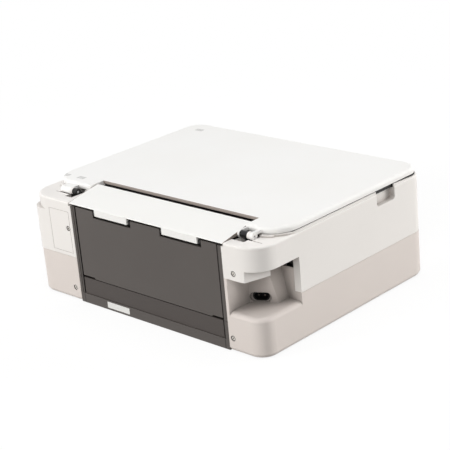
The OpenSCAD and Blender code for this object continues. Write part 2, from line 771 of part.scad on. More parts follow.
// paper support: curved cover with two hinge tabs and stiffening ribs
module paper_support() {
    back = rear_y;
    y0 = slot_y1 + 0.4;
    edge_z = ledge_z - 1.5;
    color(white) {
        difference() {
            union() {
                along_x(support_x0, support_x1) intersection() {
                    support_skin(0);
                    translate([y0, 0]) square([back - 7 - y0, body_h]);
                }
                along_x(support_x0, support_x1) {
                    intersection() {
                        support_skin(0);
                        translate([back - 7.5, 0]) square([4.5, body_h]);
                    }
                    intersection() {
                        translate([back - 4, ledge_z - 3.8]) circle(4);
                        translate([back - 4, edge_z]) square([4, 4]);
                    }
                }
                for (x = [support_x0, support_x1 - 2]) along_x(x, x + 2)
                    polygon([[y0 + 4, ledge_z + 8], [y0 + 18, ledge_z + 1], [back - 10, ledge_z - 0.7],
                             [back - 8, ledge_z], [back - 12, ledge_z + 1], [y0 + 20, ledge_z + 6.6]]);
            }
        }
        for (x = TABS) {
            box(x, x + tab_w, back - support_t, back, support_axis_z - 3, edge_z + 0.5);
            for (k = [x, x + tab_w - 6]) {
                rod_x(k, k + 6, support_axis_y, support_axis_z, 3.4);
                box(k, k + 6, support_axis_y, back - support_t, support_axis_z - 2.5, support_axis_z + 3.4);
            }
            rod_x(x - 4, x, support_axis_y, support_axis_z, 1.8);
            rod_x(x + tab_w, x + tab_w + 4, support_axis_y, support_axis_z, 1.8);
        }
    }
}

// rear feed tray: sloping back plate, ramp, side walls and the ears that carry the paper support
module rear_feed_tray() {
    y_top = rear_y - 10;
    z_top = support_axis_z + 2;
    t = 2.4;
    color(black) difference() {
        union() {
            along_x(rail_in0, rail_in1) polygon([
                [y_top - 2, z_top - 4], [y_top - 24, 97], [y_top - 62, 76], [y_top - 62, 76 - t],
                [y_top - 22, 95], [y_top - 2, z_top - 20], [y_top, z_top - 20], [y_top, z_top - 4]]);
            for (x = [rail_in0, rail_in1 - 2]) along_x(x, x + 2)
                polygon([[y_top - 62, 76 - t], [y_top - 22, 95], [y_top, z_top - 20], [y_top, z_top],
                         [y_top - 56, z_top], [y_top - 62, 112]]);
            for (x = TABS) for (k = [x - 4.6, x + tab_w + 0.4]) {
                rod_x(k, k + 4.2, support_axis_y, support_axis_z, 3.4);
                box(k, k + 4.2, y_top - 2, support_axis_y, support_axis_z - 3.4, support_axis_z + 1);
            }
        }
        for (x = TABS) rod_x(x - 5, x + tab_w + 5, support_axis_y, support_axis_z, 1.8 + run_gap);
        rod_x(rail_in0 - 1, rail_in1 + 1, roller_y, roller_z, 3 + run_gap);
        // racks' slots of the edge guides
        for (s = [-1, 1]) let (a = paper_x + s * 30, b = paper_x + s * (paper_half + 9))
            box(min(a, b), max(a, b), y_top - 30, y_top + 1, 120, 124);
    }
}

// edge guide of the rear feed: an upright cheek on the sloping plate, side -1 is the left one
module rear_guide(side) {
    inner = paper_x + side * paper_half;
    y_top = rear_y - 12.4;
    z_top = support_axis_z - 2;
    lean = (y_top - (rear_y - 34.4)) / (z_top - 97);
    foot_y = y_top - lean * (z_top - 112);
    slot_y = y_top - lean * (z_top - 121);
    x0 = min(inner, inner + side * 3);
    color(black) {
        along_x(x0, x0 + 3) polygon([
            [foot_y - 0.8, 112], [y_top - 1.4, z_top - 1], [y_top - 40, z_top + 3], [foot_y - 20, 114]]);
        // runner in its slot
        box(min(inner + side, inner - side * 18), max(inner + side, inner - side * 18),
            slot_y - 2.3, slot_y + 3, 120.4, 123.6);
    }
}
module rear_guide_left() { rear_guide(-1); }
module rear_guide_right() { rear_guide(1); }

// rear feed roller: shaft with two rubber tyres
module rear_roller() {
    color(black) {
        rod_x(rail_in0 - 0.5, rail_in1 + 0.5, roller_y, roller_z, 3);
        for (x = [paper_x - 50, paper_x + 26]) rod_x(x, x + 24, roller_y, roller_z, roller_r);
    }
}

// transport guide: ribs that turn the sheet round, on a spine
module transport_guide() {
    color(black) difference() {
        union() {
            for (i = [0 : DRUM_RIBS - 1])
                rod_x(rail_in0 + i * drum_pitch, rail_in0 + i * drum_pitch + 3, drum_y, drum_z, drum_r);
            box(rail_in0, rail_in1, drum_y - 16, drum_y - 12, drum_z - 20, drum_z + 20);
        }
        rod_x(rail_in0 - 1, rail_in1 + 1, reverse_y, drum_z, 3 + run_gap);
    }
}

// roller of the turn path
module reverse_roller() {
    color(steel) rod_x(rail_in0 + 0.5, rail_in1 - 0.5, reverse_y, drum_z, 3);
    color(black) for (i = [1, 4, 6, 9]) let (x = rail_in0 + (i + 0.5) * drum_pitch)
        rod_x(x - 4, x + 7, reverse_y, drum_z, reverse_r);
}

// black lugs that carry the hinge pins, each on the wall of its pocket
module hinge_brackets() {
    color(black) for (k = LUG) difference() {
        union() {
            rod_x(k[0], k[1], hinge_y, hinge_z, knuckle_r - 0.6);
            box(k[0], k[1], hinge_y - 4, hinge_y + 4, block_z - 2, hinge_z);
        }
        rod_x(k[0] - 1, k[1] + 1, hinge_y, hinge_z, hinge_pin_r);
    }
}

// steel hinge pins
module hinge_pins() {
    color(steel) for (p = PIN) rod_x(p[0], p[1], hinge_y, hinge_z, hinge_pin_r);
}

// document lid: rounded plate with a skirt, rear lobes and hinge knuckles
module lid() {
    r = [front_r, front_r, lid_rear_r, lid_rear_r];
    skirt = 5;
    color(white) difference() {
        union() {
            difference() {
                edged_slab(-lid_x, lid_x, lid_y0, lid_y1, r, lid_rear_r, lid_z0, body_h)
                    rounded_edge(lid_rear_r, lid_z0, body_h, lid_round);
                slab(-lid_x + skirt, lid_x - skirt, lid_y0 + skirt, slot_y0 - 2,
                     [front_r - skirt, front_r - skirt, 4, 4], lid_z0 - 1, body_h - lid_plate);
            }
            for (k = concat(KNUCKLE, [EAR])) {
                rod_x(k[0], k[1], hinge_y, hinge_z, knuckle_r);
                box(k[0], k[1], lid_y1 - 6, hinge_y, hinge_z + 1.4, hinge_z + knuckle_r - 0.5);
            }
        }
        box(support_x0 - 1.2, support_x1 + 1.2, slot_y0, rear_y, 0, body_h + 1);
        box(support_x0 - 1.2, support_x1 + 1.2, slot_y0 - 6, slot_y0 + 1, 0, body_h - lid_plate);
        for (k = concat(KNUCKLE, [EAR])) rod_x(k[0] - 1, k[1] + 1, hinge_y, hinge_z, hinge_bore_r);
    }
}

// white pressure pad under the lid
module lid_pad() {
    color(white) box(-glass_w / 2 - 6, glass_w / 2 + 6, glass_y0 - 6, glass_y1 - 4,
                     rim_z + 0.6, body_h - lid_plate);
}

// scanner tub: black box with a side rim, hinge arms at the rear
module scanner_frame() {
    t = 2.4;
    r = front_r - wall - well_gap;
    color(black) difference() {
        union() {
            slab(-scan_x, scan_x, scan_y0, scan_y1, [r, r, 3, 3], scan_z0, rim_z - glass_t);
            slab(-tub_x, tub_x, tub_y0, tub_y1, [12, 12, 3, 3], tub_z0, rim_z - glass_t);
            for (a = ARM) {
                rod_x(a[0], a[1], hinge_y, hinge_z, knuckle_r - 0.6);
                along_x(a[0], a[1]) polygon([
                    [scan_y1 - 4, scan_z0], [scan_y1 - 4, rim_z - glass_t], [scan_y1 + 4, rim_z - 5],
                    [hinge_y - 12, rim_z - 5], [hinge_y - 2, hinge_z + 2], [hinge_y + 3, hinge_z - 4],
                    [hinge_y - 3, hinge_z - 9], [scan_y1 + 6, hinge_z - 12]]);
            }
        }
        slab(-tub_x + t, tub_x - t, tub_y0 + t, tub_y1 - t, [10, 10, 2, 2], tub_z0 + t, rim_z);
        // room for the back walls of the finger notches
        for (s = [0, 1]) mirror([s, 0, 0]) box(-scan_x - 1, -side_x + notch_deep + 2.8,
            notch_y0 - 4, notch_y1 + 4, scan_z0 - 1, notch_top + 1);
        for (a = ARM) rod_x(a[0] - 1, a[1] + 1, hinge_y, hinge_z, hinge_pin_r + run_gap);
    }
}

// top plate of the scanner round the glass
module scanner_bezel() {
    r = front_r - wall - well_gap;
    color(black) difference() {
        slab(-scan_x, scan_x, scan_y0, scan_y1, [r, r, 3, 3], rim_z - glass_t, rim_z);
        box(-glass_w / 2 - fit, glass_w / 2 + fit, glass_y0 - fit, glass_y1 + fit, 0, body_h);
    }
}

module scanner_glass() {
    color("#c8d8d8") {
        box(-glass_w / 2, glass_w / 2, glass_y0, glass_y1, rim_z - glass_t, rim_z);
    }
}

// rod that the scan bar runs on
module scan_rod() {
    color(steel) rod_y(tub_y0 + 2.4, tub_y1 - 2.4, scan_rod_x, scan_rod_z, 3);
}

// contact image sensor bar, runs from front to rear under the glass
module scan_bar() {
    y0 = glass_y0 + 2;
    z1 = rim_z - glass_t - 0.5;
    color(black) difference() {
        union() {
            box(-glass_w / 2 + 2, glass_w / 2 - 2, y0, y0 + 18, z1 - 11.5, z1);
            box(scan_rod_x - 9, scan_rod_x + 9, y0, y0 + 24, tub_z0 + 3.4, z1 - 11.5);
        }
        rod_y(glass_y0 - 1, glass_y0 + 30, scan_rod_x, scan_rod_z, 3 + run_gap);
    }
    color(white) box(-glass_w / 2 + 4, glass_w / 2 - 4, y0 + 7, y0 + 11, z1, z1 + 0.2);
}

// black socket of the power inlet, set into the boss
module power_inlet() {
    color(black) inlet_place() difference() {
        stadium_cut(inlet_w + 2.8, inlet_h + 2.8, -24, -5);
        stadium_cut(inlet_w, inlet_h, -20, -4);
    }
}

// two contact pins of the inlet
module inlet_pins() {
    color(steel) inlet_place() for (s = [-1, 1]) rod_y(-20, -8, s * 4.3, 0, 1.2);
}

// USB port behind the power recess, seated on the recess wall's top and open to the rear
module usb_port() {
    x0 = -side_x + 13;
    z0 = recess_top - 3;
    y1 = recess_y - 1.5;
    color(steel) difference() {
        box(x0, x0 + 12, y1 - 16, y1, z0, z0 + 11);
        box(x0 + 0.6, x0 + 11.4, y1 - 13, y1 + 1, z0 + 0.6, z0 + 10.4);
    }
    color(black) box(x0 + 3, x0 + 9, y1 - 13, y1 - 2, z0 + 4, z0 + 7);
}

// power supply block beside the cassette
module power_supply() {
    x0 = -side_x + wall + 8;
    x1 = cassette_x0 - 22;
    color(black) {
        box(x0, x1, -130, chassis_y0 - 3, base_z1, base_z1 + 46);
        for (y = [-124 : 10 : chassis_y0 - 8]) box(x0 + 4, x1 - 4, y, y + 2, base_z1 + 46, base_z1 + 48);
    }
}

// main board on four posts, with its larger parts
module main_board() {
    x0 = cassette_x1 + 14;
    x1 = side_x - wall - 12;
    z = base_z1 + 8;
    color("#2f6b3c") box(x0, x1, -132, chassis_y0 - 4, z, z + 1.6);
    color(steel) {
        for (x = [x0 + 6, x1 - 6], y = [-126, chassis_y0 - 10])
            translate([x, y, base_z1]) cylinder(h = 8, r = 3);
        box(x0 + 22, x0 + 40, -80, -62, z + 1.6, z + 3.6);
        for (y = [-112, -100, -30]) translate([x1 - 18, y, z + 1.6]) cylinder(h = 12, r = 4);
        box(x0 + 4, x0 + 12, -70, -20, z + 1.6, z + 8);
    }
}

// steel print chassis: back plate and two side plates with the shafts' bearings
module print_chassis() {
    color(steel) difference() {
        union() {
            box(chassis_x0, chassis_x1, chassis_y1 - plate_t, chassis_y1, 52, chassis_z1);
            for (x = [chassis_x0 - plate_t, chassis_x1])
                box(x, x + plate_t, chassis_y0, chassis_y1, base_z1, chassis_z1);
        }
        for (x = [chassis_x0, chassis_x1]) {
            rod_x(x - 3, x + 3, rail_y, rail_z, rail_r);
            rod_x(x - 3, x + 3, feed_y, feed_z, feed_shaft_r + run_gap);
            rod_x(x - 3, x + 3, eject_y, feed_z, 3 + run_gap);
            rod_x(x - 3, x + 3, idler_y, feed_z, 2 + run_gap);
            rod_x(x - 3, x + 3, feed_y, pinion_z, 4);
        }
        for (x = [pulley_x0, pulley_x1]) rod_y(chassis_y1 - 5, chassis_y1 + 5, x, belt_z, 2 + run_gap);
    }
}

// ground steel rail of the carriage
module guide_rail() {
    color(steel) rod_x(chassis_x0 - plate_t, chassis_x1 + plate_t, rail_y, rail_z, rail_r);
}

// ribbed platen under the print head, stepped down at the home place to carry the cap
module platen() {
    ribs = 14;
    step = 220 / (ribs - 1);
    y0 = eject_y + 10;
    y1 = feed_y - 10;
    step_x = home_x0 - 8;
    z0 = cap_z0 - cap_travel - fit;
    color(black) {
        difference() {
            box(chassis_x0, step_x, y0, y1, 56, 62);
            rod_x(chassis_x0 - 1, chassis_x0 + 3, idler_y, feed_z, 2.5);
        }
        box(step_x - 3, step_x, y0, y1, z0 - 4, 56);
        box(step_x, chassis_x1, y0, y1, z0 - 4, z0);
        for (x = CAP_PINS) translate([x, (y0 + y1) / 2, z0]) cylinder(h = cap_travel + fit + 4, r = 2);
        for (i = [0 : ribs - 1]) box(paper_x - 111 + i * step, paper_x - 109 + i * step,
                                     eject_y + 12, feed_y - 12, 62, 65.5);
    }
}

// toothless drive belt round the two pulleys
module drive_belt() {
    r = pulley_r + fit;
    color(black) difference() {
        belt_loop(r + belt_t, belt_y0, belt_y1);
        belt_loop(r, belt_y0 - 1, belt_y1 + 1);
    }
}
module belt_loop(r, y0, y1) {
    for (x = [pulley_x0, pulley_x1]) rod_y(y0, y1, x, belt_z, r);
    box(pulley_x0, pulley_x1, y0, y1, belt_z - r, belt_z + r);
}

// motor of the carriage, behind the back plate
module carriage_motor() {
    color(steel) difference() {
        rod_y(chassis_y1, chassis_y1 + 20, pulley_x1, belt_z, 13);
        rod_y(chassis_y1 - 1, chassis_y1 + 8, pulley_x1, belt_z, 2.4);
    }
}

// pulleys: the driven one has its shaft in the motor
module pulley(x, tail) {
    color(gear_white) {
        rod_y(belt_y0 + 0.3, belt_y1 - 0.3, x, belt_z, pulley_r);
        rod_y(belt_y0 - 0.7, belt_y0 - 0.2, x, belt_z, pulley_r + 1);
        rod_y(belt_y0 - 0.7, belt_y0 + 1, x, belt_z, pulley_r - 2);
        rod_y(belt_y1 - 1, chassis_y1 + tail, x, belt_z, 2);
    }
}
module motor_pulley() { pulley(pulley_x1, 6); }
module idler_pulley() { pulley(pulley_x0, 1); }

// feed motor outside the left side plate
module feed_motor() {
    color(steel) difference() {
        rod_x(chassis_x0, chassis_x0 + 18, feed_y, pinion_z, 10);
        rod_x(chassis_x0 - 1, chassis_x0 + 12, feed_y, pinion_z, 2.4);
    }
}

module motor_pinion() {
    color(gear_white) gear_at(feed_y, pinion_z, pinion_teeth, 1.5, false, 90);
    color(steel) rod_x(gear_x0 - 1, chassis_x0 + 10, feed_y, pinion_z, 1.5);
}

// gear of the feed train, in the plane beside the left side plate, turned by angle about X
module gear_at(y, z, teeth, bore, gap_first, angle) {
    translate([gear_x0, y, z]) rotate([angle, 0, 0]) rotate([90, 0, 90]) spur(teeth, bore, gap_first);
}
module feed_gear() { color(gear_white) gear_at(feed_y, feed_z, feed_teeth, feed_shaft_r, true, 0); }
module eject_gear() { color(gear_white) gear_at(eject_y, feed_z, eject_teeth, 3, true, 0); }
module idler_gear() {
    color(gear_white) {
        gear_at(idler_y, feed_z, idler_teeth, 1.9, false, 0);
        rod_x(gear_x0, chassis_x0 + 2, idler_y, feed_z, 2);
    }
}

// feed roller with its coated middle
module feed_roller() {
    color(steel) {
        rod_x(gear_x0, chassis_x1 + 3, feed_y, feed_z, feed_shaft_r);
        rod_x(paper_x - 118, paper_x + 118, feed_y, feed_z, feed_r);
    }
}

// eject roller: shaft with rubber rings
module eject_roller() {
    rings = 9;
    step = 200 / (rings - 1);
    color(steel) rod_x(gear_x0, chassis_x1 + 3, eject_y, feed_z, 3);
    color(black) for (i = [0 : rings - 1])
        rod_x(paper_x - 104 + i * step, paper_x - 96 + i * step, eject_y, feed_z, 5.6);
}

// carriage: open cradle that slides on the rail and holds the tanks
module carriage() {
    t = 2.5;
    mid = (home_x0 + home_x1) / 2;
    color(black) {
        difference() {
            box(home_x0, home_x1, carriage_y0, carriage_y1, carriage_z0, carriage_z1);
            box(home_x0 + t, home_x1 - t, carriage_y0 + t, rail_y - 9, carriage_z0 + 6, carriage_z1 + 1);
            box(home_x0 + 6, home_x1 - 6, carriage_y0 - 1, carriage_y0 + 6, carriage_z0 + 24, carriage_z1 + 1);
            rod_x(home_x0 - 1, home_x1 + 1, rail_y, rail_z, rail_r + run_gap);
        }
        for (z = [[belt_z - pulley_r - fit - belt_t - 3, belt_z - pulley_r - fit - belt_t - 0.3],
                  [belt_z - pulley_r, belt_z - pulley_r + 3]])
            box(mid - 9, mid + 9, carriage_y1, belt_y1 - 1, z[0], z[1]);
    }
}

// ink tanks in the cradle: one wide black tank and four slim colour tanks
module tank(x0, w) {
    box(x0, x0 + w, tank_y0, tank_y1, tank_z0, tank_z1 - 8);
    box(x0, x0 + w, tank_y0 + 8, tank_y1, tank_z1 - 8, tank_z1);
}
module black_tank() { color(black) tank(home_x0 + 2.8, 2 * tank_w); }
module colour_tanks() {
    inks = ["#1f9fd6", "#d62a7a", "#e6c81e", "#555555"];
    for (i = [0 : 3]) color(inks[i]) tank(home_x0 + 2.8 + (i + 2) * (tank_w + 0.6), tank_w);
}

// sprung cap under the print head at its home place
module cap_unit() {
    y0 = eject_y + 10;
    y1 = feed_y - 10;
    color(black) difference() {
        box(home_x0 + 12, home_x1 - 26, y0, y1, cap_z0, carriage_z0 - fit);
        box(home_x0 + 16, home_x1 - 30, y0 + 4, y1 - 4, carriage_z0 - 4, carriage_z0 + 1);
        for (x = CAP_PINS)
            translate([x, (y0 + y1) / 2, cap_z0 - 1]) cylinder(h = cap_travel + 6, r = 2 + run_gap);
    }
}

// control panel: tilting front panel with seats for the display and the buttons
module control_panel() {
    y1 = panel_y + panel_t;
    color(black) difference() {
        union() {
            rod_x(panel_x0, panel_x1, panel_axis_y, panel_axis_z, panel_r);
            box(panel_x0, panel_x1, panel_y, panel_y + 3, panel_z0, panel_axis_z);
            box(panel_x0 + 4, panel_x1 - 4, panel_y + 2, y1, panel_z0 + 3, panel_axis_z);
            rod_x(panel_x0 - 3.5, panel_x1 + 3.5, panel_axis_y, panel_axis_z, 2);
        }
        box(-display_w / 2 - fit, display_w / 2 + fit, front_y - 1, panel_y + 1.6,
            button_z - display_h / 2 - fit, button_z + display_h / 2 + fit);
        for (b = BUTTONS) {
            rod_y(front_y - 1, panel_y + 3.8, b[1], button_z, button_d / 2 + fit);
            rod_y(front_y - 1, panel_y + 8, b[1], button_z, 2 + fit);
        }
    }
}

// glass cover of the display, flush with the panel
module display() {
    color("#101418") box(-display_w / 2, display_w / 2, panel_y, panel_y + 1.6,
                         button_z - display_h / 2, button_z + display_h / 2);
}

// push button: a stepped cap on a stem
module push_button(x) {
    color("#3a3a3a") {
        rod_y(front_y + 0.5, panel_y + 2.2, x, button_z, button_d / 2);
        rod_y(front_y, front_y + 0.5, x, button_z, button_d / 2 - 0.6);
        rod_y(panel_y + 2.2, panel_y + 6, x, button_z, 2);
    }
}
module power_button() { push_button(BUTTONS[0][1]); }
module menu_button() { push_button(BUTTONS[1][1]); }
module ok_button() { push_button(BUTTONS[2][1]); }
module stop_button() { push_button(BUTTONS[3][1]); }
module mono_button() { push_button(BUTTONS[4][1]); }
module colour_button() { push_button(BUTTONS[5][1]); }

// output tray above the cassette, with a lip at its front and rails under it for the extension
module output_tray() {
    x0 = mouth_x0 + 6;
    x1 = mouth_x1 - 6;
    rail_z0 = cassette_z1 + fit;
    color(pale) {
        box(x0, x1, front_y + 2, tray_y1, tray_z0, tray_z0 + tray_t);
        box(x0, x1, front_y, front_y + 4, tray_z0, tray_z0 + 9);
        for (x = [x0, x1 - 2]) box(x, x + 2, front_y + 2, tray_y1, tray_z0, tray_z0 + 6);
        for (s = [0, 1]) translate([paper_x, 0, 0]) mirror([s, 0, 0]) {
            box(extension_w / 2 + fit, extension_w / 2 + 3, front_y + 12, tray_y1, rail_z0, tray_z0);
            box(extension_w / 2 - 4, extension_w / 2 + 3, front_y + 12, tray_y1, rail_z0, rail_z0 + 0.8);
        }
    }
}

// extension that pulls out from under the output tray
module tray_extension() {
    z0 = cassette_z1 + 1.4;
    z1 = tray_z0 - fit;
    color(pale) {
        translate([paper_x, 0, 0]) box(-extension_w / 2, extension_w / 2, front_y + 2, tray_y1 - 20, z0, z1);
        translate([paper_x, 0, 0]) box(-30, 30, front_y, front_y + 2, z0 - 1, z1);
    }
}

// paper cassette: open box with a front panel and a grip
module paper_cassette() {
    t = 2.4;
    y1 = rear_y - cassette_back;
    color(pale) difference() {
        union() {
            box(cassette_x0, cassette_x1, front_y + 2, y1, cassette_z0, cassette_z1 - 4);
            box(mouth_x0 + fit, mouth_x1 - fit, front_y, front_y + 3, foot_h + 4.5, cassette_z1);
        }
        box(cassette_x0 + t, cassette_x1 - t, front_y + 5, y1 - t, cassette_z0 + t, body_h);
        box(paper_x - 45, paper_x + 45, front_y - 1, front_y + 1.6, cassette_z0 + 4, cassette_z0 + 16);
        // T slots of the paper guides in the floor
        for (s = [-1, 1]) let (a = paper_x + s * 30, b = paper_x + s * (paper_half + 7))
            box(min(a, b), max(a, b), -32, -28, cassette_z0 - 1, cassette_z0 + t + 1);
    }
}

// paper guide of the cassette, side -1 is the left one
module cassette_guide(side) {
    inner = paper_x + side * paper_half;
    z = cassette_z0 + 2.4 + fit;
    color(black) {
        box(min(inner, inner + side * 2.5), max(inner, inner + side * 2.5), -70, 10, z, z + 22);
        box(min(inner, inner - side * 14), max(inner, inner - side * 14), -42, -18, z, z + 1.5);
        box(min(inner, inner - side * 12), max(inner, inner - side * 12), -31.6, -28.4, cassette_z0, z + 1);
    }
}
module cassette_guide_left() { cassette_guide(-1); }
module cassette_guide_right() { cassette_guide(1); }

lower_housing();
upper_housing();
base_plate();
rubber_feet();
rear_frame();
lower_rear_cover();
housing_screws();
power_inlet();
inlet_pins();
usb_port();
power_supply();
main_board();
print_chassis();
guide_rail();
platen();
drive_belt();
carriage_motor();
feed_motor();
rear_feed_tray();
transport_guide();
hinge_brackets();
hinge_pins();
lid();
lid_pad();
scanner_frame();
scanner_bezel();
scanner_glass();
scan_rod();
scan_bar();
paper_support();
rear_guide_left();
rear_guide_right();
rear_roller();
transport_cover();
reverse_roller();
carriage();
black_tank();
colour_tanks();
motor_pulley();
idler_pulley();
feed_roller();
feed_gear();
idler_gear();
eject_roller();
eject_gear();
motor_pinion();
cap_unit();
control_panel();
display();
power_button();
menu_button();
ok_button();
stop_button();
mono_button();
colour_button();
output_tray();
tray_extension();
paper_cassette();
cassette_guide_left();
cassette_guide_right();
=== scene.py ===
"""Looks of an all-in-one inkjet printer: camera, studio, materials and small trim round the CAD frame.

Lengths are in metres, in the frame of the CAD: X to the right seen from the front, Y to the rear, Z up.
"""

import math

import bmesh
import bpy
from mathutils import Matrix, Vector


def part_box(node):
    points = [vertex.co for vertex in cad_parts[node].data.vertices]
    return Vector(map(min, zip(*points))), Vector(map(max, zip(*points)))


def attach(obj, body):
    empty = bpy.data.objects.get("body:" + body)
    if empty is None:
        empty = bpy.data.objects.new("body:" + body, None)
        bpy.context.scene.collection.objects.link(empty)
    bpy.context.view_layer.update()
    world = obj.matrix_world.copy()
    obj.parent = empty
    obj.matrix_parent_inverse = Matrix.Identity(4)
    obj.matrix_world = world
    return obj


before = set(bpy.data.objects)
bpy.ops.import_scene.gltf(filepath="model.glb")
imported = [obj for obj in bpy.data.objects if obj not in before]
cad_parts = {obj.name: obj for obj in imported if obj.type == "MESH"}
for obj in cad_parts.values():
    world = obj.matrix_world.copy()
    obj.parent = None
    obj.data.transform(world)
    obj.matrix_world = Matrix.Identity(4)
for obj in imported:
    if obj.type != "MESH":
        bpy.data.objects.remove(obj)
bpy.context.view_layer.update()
MM = 0.001


# ---------------------------------------------------------------- camera
# width of the picture and focal length in pixels, and sensor width in millimetres
IMAGE = 450
FOCAL_PX = 1364.435
SENSOR = 36.0
# place and axes of the camera, as fitted to the edges of the housing
EYE = Vector((-1.377185, 1.371642, 0.814126))
RIGHT = Vector((-0.724294, -0.684061, -0.086368))
UP = Vector((0.181448, -0.309953, 0.933277))


def make_camera():
    """Camera at the measured viewpoint."""
    data = bpy.data.cameras.new("camera")
    data.sensor_width = SENSOR
    data.sensor_fit = "HORIZONTAL"
    data.lens = FOCAL_PX * SENSOR / IMAGE
    data.clip_end = 50
    camera = bpy.data.objects.new("camera", data)
    bpy.context.scene.collection.objects.link(camera)
    back = RIGHT.cross(UP)
    camera.matrix_world = Matrix((
        (RIGHT.x, UP.x, back.x, EYE.x),
        (RIGHT.y, UP.y, back.y, EYE.y),
        (RIGHT.z, UP.z, back.z, EYE.z),
        (0, 0, 0, 1),
    ))
    bpy.context.scene.camera = camera


# ---------------------------------------------------------------- node helpers
# sockets of a mix node in colour mode
MIX_FACTOR, MIX_FIRST, MIX_SECOND, MIX_RESULT = 0, 6, 7, 2
# most of the values of a noise texture lie in this range
NOISE_RANGE = (0.3, 0.7)


def linear(rgb):
    """sRGB values of 0 to 255 as a linear colour."""
    scaled = [c / 255 for c in rgb]
    return tuple(c / 12.92 if c <= 0.04045 else ((c + 0.055) / 1.055) ** 2.4 for c in scaled) + (1.0,)


def new_material(name):
    """New node material, with its tree and its main shader."""
    material = bpy.data.materials.new(name)
    material.use_nodes = True
    tree = material.node_tree
    shader = tree.nodes["Principled BSDF"]
    return material, tree, shader


def add(tree, kind, **values):
    """New node; names of its inputs or properties set its values."""
    node = tree.nodes.new(kind)
    for key, value in values.items():
        if key in node.inputs:
            node.inputs[key].default_value = value
        else:
            setattr(node, key, value)
    return node


def noise(tree, coordinates, scale, detail=3.0, stretch=None):
    """Noise over the object's own coordinates, drawn out along an axis where stretch is given."""
    if stretch:
        mapping = add(tree, "ShaderNodeMapping", Scale=stretch)
        tree.links.new(coordinates, mapping.inputs["Vector"])
        coordinates = mapping.outputs["Vector"]
    node = add(tree, "ShaderNodeTexNoise", Scale=scale, Detail=detail)
    tree.links.new(coordinates, node.inputs["Vector"])
    return node.outputs["Fac"]


def remap(tree, value, source, target, kind):
    """Maps a value from one range to another."""
    node = add(tree, "ShaderNodeMapRange", interpolation_type=kind)
    for end, number in zip(("From Min", "From Max", "To Min", "To Max"), source + target):
        node.inputs[end].default_value = number
    tree.links.new(value, node.inputs["Value"])
    return node.outputs["Result"]


def spread(tree, value, low, high):
    """Maps a noise value to the range low to high."""
    return remap(tree, value, NOISE_RANGE, (low, high), "LINEAR")


def tint(tree, factor, first, second):
    """Mix of two colours, each a plain colour or a socket: the first at factor 0, the second at 1."""
    node = add(tree, "ShaderNodeMix", data_type="RGBA")
    tree.links.new(factor, node.inputs[MIX_FACTOR])
    for place, colour in ((MIX_FIRST, first), (MIX_SECOND, second)):
        if isinstance(colour, tuple):
            node.inputs[place].default_value = colour
        else:
            tree.links.new(colour, node.inputs[place])
    return node.outputs[MIX_RESULT]


def math_node(tree, operation, first, *others):
    """Result of one operation on sockets or numbers."""
    node = add(tree, "ShaderNodeMath", operation=operation)
    for socket, value in zip(node.inputs, (first,) + others):
        if isinstance(value, (int, float)):
            socket.default_value = value
        else:
            tree.links.new(value, socket)
    return node.outputs[0]


def relief(tree, height, depth, edge):
    """Bump of the given depth over a softened edge."""
    soft = add(tree, "ShaderNodeBevel", samples=4, Radius=edge)
    bump = add(tree, "ShaderNodeBump", Strength=1.0, Distance=depth)
    tree.links.new(height, bump.inputs["Height"])
    tree.links.new(soft.outputs["Normal"], bump.inputs["Normal"])
    return bump.outputs["Normal"]


def object_coordinates(tree):
    """Place in the object's own axes, which are those of the CAD."""
    return add(tree, "ShaderNodeTexCoord").outputs["Object"]


# ---------------------------------------------------------------- materials
# front wall of the paper slot in the lid, how far the painted shade on it reaches and by how much it runs
# past the flap
SLOT_FRONT = 111 * MM
SLOT_REACH = 0.25 * MM
SLOT_MARGIN = 2 * MM
# values of plastic for both dark covers at the rear
COVER_LOOK = (0.45, 0.7 * MM, 0.02 * MM, 0.35 * MM, 0.93, 0.35)
# reach of the painted shade at the sides of the flap and of the rear door
SIDE_REACH = 0.7 * MM
# centres of the rubbed patches on the lid, in X and Y, and their half sizes
SCUFFS = ((219 * MM, 121 * MM), (186 * MM, 119 * MM), (197 * MM, -152 * MM))
SCUFF_SIZE = (7.5 * MM, 4.5 * MM)
# radius of the screw heads, and half widths of the painted shade on their rim and slot
SCREW = dict(head=3.4 * MM, rim=0.6 * MM, slot=0.4 * MM)


def plastic(name, rgb, rough=0.42, grain=0.5 * MM, depth=0.012 * MM, edge=0.45 * MM, drift=0.94, gloss=0.45):
    """Moulded plastic: spark-eroded grain, a slight drift of tone and softened edges."""
    material, tree, shader = new_material(name)
    place = object_coordinates(tree)
    fine = noise(tree, place, 1 / grain, 2.0)
    broad = noise(tree, place, 9.0, 3.0)
    colour = linear(rgb)
    darker = tuple(c * drift for c in colour[:3]) + (1.0,)
    tree.links.new(tint(tree, spread(tree, broad, 0.0, 1.0), colour, darker), shader.inputs["Base Color"])
    tree.links.new(spread(tree, fine, rough - 0.05, rough + 0.06), shader.inputs["Roughness"])
    tree.links.new(relief(tree, fine, depth, edge), shader.inputs["Normal"])
    shader.inputs["Specular IOR Level"].default_value = gloss
    return material


def rubber(name, rgb, rough=0.8):
    """Matt rubber with a fine cast skin."""
    material, tree, shader = new_material(name)
    place = object_coordinates(tree)
    fine = noise(tree, place, 2500.0, 4.0)
    broad = noise(tree, place, 60.0, 3.0)
    colour = linear(rgb)
    dusty = tuple(min(1.0, c * 1.8 + 0.01) for c in colour[:3]) + (1.0,)
    tree.links.new(tint(tree, spread(tree, broad, 0.0, 0.6), colour, dusty), shader.inputs["Base Color"])
    tree.links.new(spread(tree, fine, rough - 0.08, rough + 0.08), shader.inputs["Roughness"])
    tree.links.new(relief(tree, fine, 0.03 * MM, 0.3 * MM), shader.inputs["Normal"])
    return material


